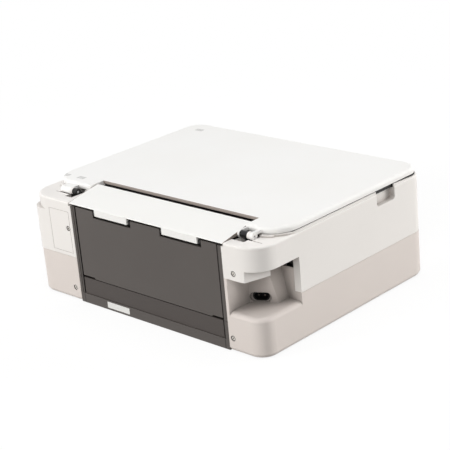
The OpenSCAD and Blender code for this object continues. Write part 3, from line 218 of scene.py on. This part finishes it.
def metal(name, rgb, rough=0.3, stretch=(1, 1, 1), scale=400.0, depth=0.006 * MM):
    """Ground or plated steel, with the tool marks drawn out along one axis."""
    material, tree, shader = new_material(name)
    place = object_coordinates(tree)
    marks = noise(tree, place, scale, 4.0, stretch)
    broad = noise(tree, place, 30.0, 2.0)
    colour = linear(rgb)
    darker = tuple(c * 0.86 for c in colour[:3]) + (1.0,)
    tree.links.new(tint(tree, spread(tree, broad, 0.0, 1.0), colour, darker), shader.inputs["Base Color"])
    tree.links.new(spread(tree, marks, rough - 0.08, rough + 0.12), shader.inputs["Roughness"])
    tree.links.new(relief(tree, marks, depth, 0.15 * MM), shader.inputs["Normal"])
    shader.inputs["Metallic"].default_value = 1.0
    return material


def clear_glass(name, rgb):
    """Float glass with a faint tint and the haze of fine dust."""
    material, tree, shader = new_material(name)
    place = object_coordinates(tree)
    dust = noise(tree, place, 900.0, 5.0)
    shader.inputs["Base Color"].default_value = linear(rgb)
    tree.links.new(spread(tree, dust, 0.01, 0.06), shader.inputs["Roughness"])
    shader.inputs["Transmission Weight"].default_value = 1.0
    shader.inputs["IOR"].default_value = 1.5
    return material


def screen_glass(name):
    """Dark display cover with faint smears."""
    material, tree, shader = new_material(name)
    place = object_coordinates(tree)
    smear = noise(tree, place, 45.0, 5.0, (1, 1, 3))
    tree.links.new(tint(tree, spread(tree, smear, 0.0, 1.0), linear((12, 13, 17)), linear((20, 22, 28))),
                   shader.inputs["Base Color"])
    tree.links.new(spread(tree, smear, 0.05, 0.14), shader.inputs["Roughness"])
    shader.inputs["Coat Weight"].default_value = 0.6
    shader.inputs["Coat Roughness"].default_value = 0.03
    return material


def circuit_board(name):
    """Green solder mask over a raised pattern of tracks."""
    material, tree, shader = new_material(name)
    place = object_coordinates(tree)
    tracks = add(tree, "ShaderNodeTexBrick", Scale=90.0)
    tree.links.new(place, tracks.inputs["Vector"])
    tracks.inputs["Mortar Size"].default_value = 0.03
    mask = tracks.outputs["Fac"]
    tree.links.new(tint(tree, mask, linear((34, 92, 52)), linear((74, 138, 82))), shader.inputs["Base Color"])
    grain = noise(tree, place, 1500.0, 3.0)
    tree.links.new(spread(tree, grain, 0.25, 0.4), shader.inputs["Roughness"])
    tree.links.new(relief(tree, mask, 0.05 * MM, 0.1 * MM), shader.inputs["Normal"])
    return material


def wall_mask(tree, place, axis, at, reach, along=None):
    """Mask of the walls within reach of the given places on an axis, or of a stretch of them along X."""
    split = add(tree, "ShaderNodeSeparateXYZ")
    tree.links.new(place, split.inputs[0])
    total = None
    for distance in at:
        near = math_node(tree, "COMPARE", split.outputs[axis], distance, reach)
        total = near if total is None else math_node(tree, "MAXIMUM", total, near)
    if along:
        middle, half = (along[0] + along[1]) / 2, (along[1] - along[0]) / 2
        inside = math_node(tree, "COMPARE", split.outputs["X"], middle, half)
        total = math_node(tree, "MULTIPLY", total, inside)
    return total


def lid_plastic(name, rgb):
    """White satin lid with three faint rubbed patches near its rim and painted shade on the wall along the
    paper slot.
    """
    material, tree, shader = new_material(name)
    place = object_coordinates(tree)
    fine = noise(tree, place, 2200.0, 2.0)
    broad = noise(tree, place, 7.0, 3.0)
    colour = linear(rgb)
    warm = tuple(c * k for c, k in zip(colour[:3], (0.985, 0.98, 0.97))) + (1.0,)
    clean = tint(tree, spread(tree, broad, 0.0, 1.0), colour, warm)
    speck = noise(tree, place, 700.0, 2.0, (1, 3, 1))
    patch = scuff_mask(tree, place, speck)
    worn = tint(tree, patch, clean, linear((132, 129, 127)))
    # painted shade: the front wall of the paper slot is greyed as if it lay in shadow
    low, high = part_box("paper_support")
    wall = wall_mask(tree, place, "Y", (SLOT_FRONT,), SLOT_REACH, (low.x - SLOT_MARGIN, high.x + SLOT_MARGIN))
    tree.links.new(tint(tree, wall, worn, linear((178, 168, 161))), shader.inputs["Base Color"])
    tree.links.new(spread(tree, fine, 0.33, 0.42), shader.inputs["Roughness"])
    tree.links.new(relief(tree, fine, 0.008 * MM, 0.5 * MM), shader.inputs["Normal"])
    shader.inputs["Specular IOR Level"].default_value = 0.35
    return material


def scuff_mask(tree, place, speck):
    """Mask of small rubbed patches on the lid, broken up by the speck noise."""
    split = add(tree, "ShaderNodeSeparateXYZ")
    tree.links.new(place, split.inputs[0])
    total = None
    for x, y in SCUFFS:
        inside = None
        for axis, centre, half in zip("XY", (x, y), SCUFF_SIZE):
            near = math_node(tree, "COMPARE", split.outputs[axis], centre, half)
            inside = near if inside is None else math_node(tree, "MULTIPLY", inside, near)
        total = inside if total is None else math_node(tree, "MAXIMUM", total, inside)
    return math_node(tree, "MULTIPLY", total, spread(tree, speck, 0.05, 0.75))


def repaint(material, make_mask, rgb):
    """Gives a material another colour where a mask, made in its tree, is 1."""
    tree = material.node_tree
    socket = tree.nodes["Principled BSDF"].inputs["Base Color"]
    clean = socket.links[0].from_socket
    tree.links.new(tint(tree, make_mask(tree), clean, linear(rgb)), socket)
    return material


def side_mask(tree, node):
    """Mask of both sides of a CAD node, left and right, where painted shade goes."""
    low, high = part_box(node)
    return wall_mask(tree, object_coordinates(tree), "X", (low.x, high.x), SIDE_REACH)


def flap_plastic(name, rgb):
    """White flap whose side walls are painted greyer as shade, where they lie in the gap beside the lid."""
    material = plastic(name, rgb, 0.44, 0.6 * MM, 0.014 * MM, 0.4 * MM, 0.98)
    return repaint(material, lambda tree: side_mask(tree, "paper_support"), (160, 151, 144))


def cover_plastic(name, rgb):
    """Dark cover plastic with painted shade down each side of the rear door, where its edges lie in the gaps.

    The door ends in line with the cover below it, and its own box holds its pivots too.
    """
    material = plastic(name, rgb, *COVER_LOOK)
    return repaint(material, lambda tree: side_mask(tree, "lower_rear_cover"), (34, 31, 29))


def painted_hollow_shade(tree, reach):
    """Mask of painted shade from ambient occlusion: it rises from 0 in the open towards 1 deep in a hollow of
    the same piece.
    """
    hollow = add(tree, "ShaderNodeAmbientOcclusion", samples=6, only_local=True, Distance=reach)
    return math_node(tree, "SUBTRACT", 1.0, hollow.outputs["AO"])


def housing_plastic(name, rgb, hollow_shade_rgb, reach, **look):
    """Housing plastic with painted shade that darkens it in its hollows."""
    return repaint(plastic(name, rgb, **look), lambda tree: painted_hollow_shade(tree, reach), hollow_shade_rgb)


def centres_of(node, apart):
    """Middle, in X and Z, of each loose part of a CAD node whose parts lie well apart."""
    parts = []
    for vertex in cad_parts[node].data.vertices:
        x, _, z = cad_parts[node].matrix_world @ vertex.co
        for part in parts:
            if math.hypot(part[0][0] - x, part[0][1] - z) < apart:
                part.append((x, z))
                break
        else:
            parts.append([(x, z)])
    return [((min(p[0] for p in part) + max(p[0] for p in part)) / 2,
             (min(p[1] for p in part) + max(p[1] for p in part)) / 2) for part in parts]


def painted_screw_shade(tree):
    """Mask of painted shade on every screw head: a dark rim, as the shadow of a counterbore, and a slanted
    slot.
    """
    split = add(tree, "ShaderNodeSeparateXYZ")
    tree.links.new(object_coordinates(tree), split.inputs[0])
    total = None
    for x, z in centres_of("housing_screws", 2.5 * SCREW["head"]):
        across = math_node(tree, "SUBTRACT", split.outputs["X"], x)
        along = math_node(tree, "SUBTRACT", split.outputs["Z"], z)
        square = math_node(tree, "ADD", math_node(tree, "MULTIPLY", across, across),
                           math_node(tree, "MULTIPLY", along, along))
        radius = math_node(tree, "POWER", square, 0.5)
        rim = math_node(tree, "COMPARE", radius, SCREW["head"], SCREW["rim"])
        slot = math_node(tree, "COMPARE", math_node(tree, "ADD", across, along), 0.0, SCREW["slot"])
        inside = math_node(tree, "LESS_THAN", radius, SCREW["head"])
        head = math_node(tree, "MAXIMUM", rim, math_node(tree, "MULTIPLY", slot, inside))
        total = head if total is None else math_node(tree, "MAXIMUM", total, head)
    return total


def screw_metal(name, rgb):
    """Plated screw heads with painted shade in a dark rim and a slanted slot."""
    return repaint(metal(name, rgb, 0.34, (1, 1, 1), 600.0), painted_screw_shade, (88, 84, 80))


# which look each CAD node gets
LOOKS = {
    "white shell": ["upper_housing"],
    "flap white": ["paper_support"],
    "lid white": ["lid"],
    "pale grey": ["lower_housing"],
    "tray grey": ["output_tray", "tray_extension", "paper_cassette"],
    "dark cover": ["rear_frame", "transport_cover"],
    "lower cover": ["lower_rear_cover"],
    "black": ["base_plate", "rear_feed_tray", "transport_guide", "scan_bar", "rear_guide_left",
              "rear_guide_right", "platen", "carriage", "cap_unit", "cassette_guide_left",
              "cassette_guide_right", "power_supply", "scanner_bezel"],
    "socket black": ["power_inlet", "usb_port", "scanner_frame", "hinge_brackets"],
    "gloss black": ["control_panel"],
    "screen": ["display"],
    "glass": ["scanner_glass"],
    "pad white": ["lid_pad"],
    "rubber": ["rubber_feet", "drive_belt", "rear_roller", "reverse_roller"],
    "board": ["main_board"],
    "zinc": ["print_chassis", "carriage_motor", "feed_motor"],
    "pin steel": ["inlet_pins"],
    "screw": ["housing_screws"],
    "ground steel": ["guide_rail", "hinge_pins", "scan_rod", "feed_roller", "eject_roller"],
    "gear white": ["motor_pulley", "idler_pulley", "feed_gear", "idler_gear", "eject_gear", "motor_pinion"],
    "button": ["power_button", "menu_button", "ok_button", "stop_button", "mono_button", "colour_button"],
    "ink black": ["black_tank"],
    "ink colour": ["colour_tanks"],
}


def make_materials():
    """All looks, by name."""
    # plastic takes a name, colour, roughness, grain size and depth, softened edge, drift of tone and gloss
    return {
        # housing_plastic's second colour is the painted shade laid into the piece's hollows within the given
        # reach
        "white shell": housing_plastic("white_shell", (239, 236, 233), (150, 140, 133), 20 * MM, rough=0.46,
                                       grain=0.6 * MM, depth=0.016 * MM, edge=0.5 * MM, drift=0.98),
        "flap white": flap_plastic("flap_white", (242, 242, 240)),
        "lid white": lid_plastic("lid_white", (243, 243, 242)),
        "pale grey": housing_plastic("pale_grey", (224, 216, 211), (62, 57, 52), 36 * MM, rough=0.5,
                                     grain=0.6 * MM, depth=0.018 * MM, edge=0.6 * MM, drift=0.97),
        "tray grey": plastic("tray_grey", (206, 199, 195), 0.5, 0.6 * MM, 0.018 * MM, 0.5 * MM, 0.965),
        "dark cover": cover_plastic("dark_cover", (85, 80, 77)),
        "lower cover": plastic("lower_cover", (72, 66, 63), *COVER_LOOK),
        "black": plastic("black_plastic", (34, 33, 33), 0.5, 0.5 * MM, 0.012 * MM, 0.35 * MM, 0.85),
        "socket black": plastic("socket_black", (16, 16, 16), 0.38, 0.4 * MM, 0.006 * MM, 0.2 * MM, 0.9),
        "gloss black": plastic("gloss_black", (24, 24, 25), 0.16, 3 * MM, 0.003 * MM, 0.4 * MM, 0.9, 0.6),
        "screen": screen_glass("screen_glass"),
        "glass": clear_glass("scanner_glass", (226, 240, 236)),
        "pad white": plastic("pad_white", (238, 238, 236), 0.7, 0.25 * MM, 0.03 * MM, 0.4 * MM, 0.97, 0.3),
        "rubber": rubber("rubber_black", (30, 30, 30)),
        "board": circuit_board("circuit_board"),
        "zinc": metal("zinc_steel", (176, 178, 180), 0.34, (1, 1, 1), 250.0),
        "pin steel": metal("pin_steel", (110, 104, 98), 0.4, (1, 1, 1), 500.0),
        "screw": screw_metal("screw_steel", (232, 228, 221)),
        "ground steel": metal("ground_steel", (190, 192, 195), 0.22, (60, 1, 1), 40.0),
        "gear white": plastic("gear_pom", (222, 217, 203), 0.36, 0.4 * MM, 0.006 * MM, 0.15 * MM, 0.95),
        "button": plastic("button_grey", (58, 58, 60), 0.35, 0.4 * MM, 0.006 * MM, 0.3 * MM, 0.92),
        "ink black": plastic("ink_black", (22, 22, 24), 0.25, 0.5 * MM, 0.004 * MM, 0.4 * MM, 0.9, 0.6),
        "ink colour": plastic("ink_colour", (60, 110, 160), 0.25, 0.5 * MM, 0.004 * MM, 0.4 * MM, 0.9, 0.6),
        "label": plastic("label_white", (233, 233, 231), 0.3, 1.2 * MM, 0.004 * MM, 0.05 * MM, 0.98),
        "lamp": plastic("lamp_green", (118, 196, 140), 0.2, 0.3 * MM, 0.003 * MM, 0.1 * MM, 0.92, 0.6),
        "mark": plastic("mark_white", (215, 215, 215), 0.5, 0.3 * MM, 0.003 * MM, 0.05 * MM, 0.98),
    }


def dress(looks):
    """Gives every CAD node its material."""
    for look, nodes in LOOKS.items():
        for name in nodes:
            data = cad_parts[name].data
            data.materials.clear()
            data.materials.append(looks[look])


# ---------------------------------------------------------------- trim
def rounded_outline(width, height, radius, steps=6):
    """Corner points of a rounded rectangle about the origin."""
    points = []
    for cx, cy, start in ((1, 1, 0), (-1, 1, 90), (-1, -1, 180), (1, -1, 270)):
        for i in range(steps + 1):
            a = math.radians(start + 90 * i / steps)
            points.append((cx * (width / 2 - radius) + radius * math.cos(a),
                           cy * (height / 2 - radius) + radius * math.sin(a)))
    return points


def raise_faces(build, reach):
    """Makes a closed shape of the faces of a build: copies them at reach and walls their open edges.

    The extrude operator would give the same shape, but its walls come in another order each run.
    """
    faces = list(build.faces)
    rim = [edge for edge in build.edges if len(edge.link_faces) == 1]
    far = {v: build.verts.new(v.co + Vector(reach)) for v in list(build.verts)}
    for face in faces:
        build.faces.new([far[v] for v in face.verts])
    for edge in rim:
        a, b = edge.verts
        build.faces.new((a, b, far[b], far[a]))
    bmesh.ops.recalc_face_normals(build, faces=build.faces)


def trim_piece(name, build, place, material, body):
    """Object made from a build, put at a place and riding on a body."""
    mesh = bpy.data.meshes.new(name)
    build.to_mesh(mesh)
    build.free()
    piece = bpy.data.objects.new(name, mesh)
    bpy.context.scene.collection.objects.link(piece)
    piece.matrix_world = place
    mesh.materials.append(material)
    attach(piece, body)


def plate_piece(name, outline, thickness, place, material, body):
    """Thin plate: an outline in its own XY plane, raised along Z."""
    build = bmesh.new()
    build.faces.new([build.verts.new((x, y, 0)) for x, y in outline])
    raise_faces(build, (0, 0, thickness))
    trim_piece(name, build, place, material, body)


def facing(direction, point):
    """Place whose Z runs along direction (+Y or -Y), with X level and Y up."""
    z = Vector((0, direction, 0))
    y = Vector((0, 0, 1))
    x = y.cross(z)
    return Matrix((
        (x.x, y.x, z.x, point[0]),
        (x.y, y.y, z.y, point[1]),
        (x.z, y.z, z.z, point[2]),
        (0, 0, 0, 1),
    ))


def arc(radius, start, end, steps=20):
    """Points of an arc about the origin; angles in degrees."""
    angles = [math.radians(start + (end - start) * i / steps) for i in range(steps + 1)]
    return [(radius * math.cos(a), radius * math.sin(a)) for a in angles]


def band(build, points, width, closed):
    """Faces of a flat band of even width along a line of points."""
    count = len(points)
    left, right = [], []
    for i, (x, y) in enumerate(points):
        before = points[i - 1] if i or closed else points[i]
        after = points[(i + 1) % count] if i < count - 1 or closed else points[i]
        inward = (Vector((x, y)) - Vector(before)).normalized()
        outward = (Vector(after) - Vector((x, y))).normalized()
        run = (inward + outward).normalized()
        reach = width / 2 / max(0.5, run.dot(outward if outward.length else inward))
        left.append(build.verts.new((x - run.y * reach, y + run.x * reach, 0)))
        right.append(build.verts.new((x + run.y * reach, y - run.x * reach, 0)))
    for i in range(count if closed else count - 1):
        k = (i + 1) % count
        build.faces.new((left[i], right[i], right[k], left[k]))


def symbol_piece(name, strokes, width, thickness, place, material, body):
    """Printed symbol of flat bands; each stroke is (points, closed)."""
    build = bmesh.new()
    for points, closed in strokes:
        band(build, points, width, closed)
    raise_faces(build, (0, 0, thickness))
    trim_piece(name, build, place, material, body)


# radius of the symbols on the push buttons, and two outlines of about that size
R = 2.3 * MM
SQUARE = [(-R * 0.8, -R * 0.8), (R * 0.8, -R * 0.8), (R * 0.8, R * 0.8), (-R * 0.8, R * 0.8)]
DIAMOND = [(0, -R * 1.25), (R * 1.25, 0), (0, R * 1.25), (-R * 1.25, 0)]
# plain symbols on the push buttons, in the plane of each cap
SYMBOLS = {
    "power_button": [(arc(R, 125, 415), False), ([(0, 0.4 * MM), (0, R + 0.7 * MM)], False)],
    "menu_button": [([(-R, h * MM), (R, h * MM)], False) for h in (-1.6, 0, 1.6)],
    "ok_button": [([(-R, 0.2 * MM), (-0.5 * MM, -1.7 * MM), (R + 0.3 * MM, 1.8 * MM)], False)],
    "stop_button": [(SQUARE, True)],
    "mono_button": [(arc(R, 0, 350, 24), True)],
    "colour_button": [(DIAMOND, True)],
}
SYMBOL = dict(width=0.45 * MM, thickness=0.06 * MM)
LED = dict(side=5.2 * MM, width=1.2 * MM, height=3.4 * MM, corner=0.5 * MM, thickness=0.15 * MM)


def panel_marks(looks):
    """Symbols on the push buttons and a light pipe beside the power button."""
    for node, strokes in SYMBOLS.items():
        low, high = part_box(node)
        place = facing(-1, ((low.x + high.x) / 2, low.y, (low.z + high.z) / 2))
        symbol_piece(node + "_symbol", strokes, SYMBOL["width"], SYMBOL["thickness"], place, looks["mark"],
                     node)
    low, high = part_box("power_button")
    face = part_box("control_panel")[0].y
    place = facing(-1, (high.x + LED["side"], face, (low.z + high.z) / 2))
    outline = rounded_outline(LED["width"], LED["height"], LED["corner"])
    plate_piece("power_light", outline, LED["thickness"], place, looks["lamp"], "control_panel")


# ends of the label in X and in Z
LABEL = dict(x=(33 * MM, 81 * MM), z=(4.6 * MM, 14.4 * MM), corner=0.8 * MM, thickness=0.12 * MM)


def rear_label(looks):
    """Bare rating label on the foot of the rear frame."""
    (x0, x1), (z0, z1) = LABEL["x"], LABEL["z"]
    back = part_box("rear_frame")[1].y
    place = facing(1, ((x0 + x1) / 2, back, (z0 + z1) / 2))
    outline = rounded_outline(x1 - x0, z1 - z0, LABEL["corner"])
    plate_piece("rear_label", outline, LABEL["thickness"], place, looks["label"], "chassis")


# length and radii of the hinge sleeves, and the angles of their arc in degrees
SLEEVE = dict(length=4.2 * MM, inner=4.9 * MM, outer=5.6 * MM, start=-35, end=215, steps=30)


def sleeve_piece(name, x0, x1, centre, material):
    """White sleeve over the outer end of a hinge bracket, open at the foot of the bracket."""
    build = bmesh.new()
    outer = arc(SLEEVE["outer"], SLEEVE["start"], SLEEVE["end"], SLEEVE["steps"])
    inner = arc(SLEEVE["inner"], SLEEVE["end"], SLEEVE["start"], SLEEVE["steps"])
    ring = [build.verts.new((x0, centre[0] + y, centre[1] + z)) for y, z in outer + inner]
    last = len(ring) - 1
    for i in range(SLEEVE["steps"]):
        build.faces.new((ring[i], ring[i + 1], ring[last - i - 1], ring[last - i]))
    raise_faces(build, (x1 - x0, 0, 0))
    trim_piece(name, build, Matrix(), material, "chassis")


def hinge_sleeves(looks):
    """A sleeve on each hinge bracket."""
    low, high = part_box("hinge_brackets")
    pin_low, pin_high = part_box("hinge_pins")
    centre = ((pin_low.y + pin_high.y) / 2, (pin_low.z + pin_high.z) / 2)
    length = SLEEVE["length"]
    sleeve_piece("hinge_sleeve_left", low.x, low.x + length, centre, looks["white shell"])
    sleeve_piece("hinge_sleeve_right", high.x - length, high.x, centre, looks["white shell"])


# ---------------------------------------------------------------- studio
# side of the square floor
FLOOR_SIZE = 12.0
# share of plain white in the floor near the printer, and the distances between which it fades to all white
FLOOR_GLOW = 0.87
GLOW_FADE = (0.5, 1.5)
WHITE = (1.0, 1.0, 1.0, 1.0)
SKY = (1.0, 0.99, 0.98, 1.0)
SKY_STRENGTH = 0.08
# colours of the lamps
WARM = (1.0, 0.985, 0.965)
PLAIN = (1.0, 1.0, 1.0)
# all face the origin; the rear and side ones leave the near corner of the printer the darkest
LIGHTS = {
    "rear": dict(place=(1.36, 2.56, 0.78), size=1.2, power=50.0, colour=WARM),
    "side": dict(place=(-1.85, -2.29, 0.57), size=1.2, power=62.0, colour=WARM),
    "corner": dict(place=(-1.72, 1.72, 1.76), size=1.2, power=24.0, colour=WARM),
    "top": dict(place=(0.0, 0.0, 3.0), size=2.5, power=53.0, colour=PLAIN),
    "front": dict(place=(0.39, -2.77, 1.08), size=1.6, power=7.0, colour=PLAIN),
}


def area_light(name, place, size, power, colour):
    """Square lamp that faces the origin and leaves no glare of its own on glossy surfaces."""
    data = bpy.data.lights.new(name, "AREA")
    data.shape = "SQUARE"
    data.size = size
    data.energy = power
    data.color = colour
    light = bpy.data.objects.new(name, data)
    bpy.context.scene.collection.objects.link(light)
    light.visible_glossy = False
    light.location = place
    light.rotation_euler = (-Vector(place)).to_track_quat("-Z", "Y").to_euler()


def mix_shaders(tree, *sockets):
    """Mix of two shaders; the sockets are its factor, the first shader and the second."""
    mix = add(tree, "ShaderNodeMixShader")
    for source, target in zip(sockets, mix.inputs):
        tree.links.new(source, target)
    return mix.outputs[0]


def white_to_camera(tree, lit, white):
    """Puts the white shader in place of the lit one for rays from the camera, off gloss or through glass."""
    path = add(tree, "ShaderNodeLightPath")
    seen = math_node(tree, "MAXIMUM", path.outputs["Is Camera Ray"], path.outputs["Is Glossy Ray"])
    seen = math_node(tree, "MAXIMUM", seen, path.outputs["Is Transmission Ray"])
    return mix_shaders(tree, seen, lit, white)


def make_world():
    """Faint even light, and plain white behind everything."""
    world = bpy.data.worlds.new("studio")
    bpy.context.scene.world = world
    world.use_nodes = True
    tree = world.node_tree
    tree.nodes.clear()
    lit = add(tree, "ShaderNodeBackground", Color=SKY, Strength=SKY_STRENGTH)
    white = add(tree, "ShaderNodeBackground", Color=WHITE, Strength=1.0)
    output = add(tree, "ShaderNodeOutputWorld")
    tree.links.new(white_to_camera(tree, lit.outputs[0], white.outputs[0]), output.inputs["Surface"])


def floor_glow(tree, place):
    """Share of plain white in the floor: less near the printer, where its shadow falls, and all far off."""
    away = add(tree, "ShaderNodeVectorMath", operation="LENGTH")
    tree.links.new(place, away.inputs[0])
    return remap(tree, away.outputs["Value"], GLOW_FADE, (FLOOR_GLOW, 1.0), "SMOOTHSTEP")


def make_floor():
    """Pale floor that keeps a soft shadow and reads as white to the camera."""
    mesh = bpy.data.meshes.new("floor")
    h = FLOOR_SIZE / 2
    mesh.from_pydata([(-h, -h, 0), (h, -h, 0), (h, h, 0), (-h, h, 0)], [], [(0, 1, 2, 3)])
    floor = bpy.data.objects.new("floor", mesh)
    bpy.context.scene.collection.objects.link(floor)
    material, tree, shader = new_material("floor_paper")
    place = object_coordinates(tree)
    fibre = spread(tree, noise(tree, place, 60.0, 4.0), 0.0, 1.0)
    colour = tint(tree, fibre, linear((187, 186, 184)), linear((183, 182, 180)))
    tree.links.new(colour, shader.inputs["Base Color"])
    shader.inputs["Roughness"].default_value = 0.9
    shader.inputs["Specular IOR Level"].default_value = 0.0
    paper = add(tree, "ShaderNodeBsdfDiffuse", Color=WHITE, Roughness=1.0)
    white = add(tree, "ShaderNodeEmission", Color=WHITE, Strength=1.0)
    seen = mix_shaders(tree, floor_glow(tree, place), paper.outputs[0], white.outputs[0])
    surface = white_to_camera(tree, shader.outputs[0], seen)
    tree.links.new(surface, tree.nodes["Material Output"].inputs["Surface"])
    mesh.materials.append(material)


def make_studio():
    """Backdrop, floor and lamps."""
    bpy.context.scene.view_settings.view_transform = "Standard"
    make_world()
    make_floor()
    for name, light in LIGHTS.items():
        area_light(name, **light)


make_camera()
looks = make_materials()
dress(looks)
rear_label(looks)
panel_marks(looks)
hinge_sleeves(looks)
make_studio()
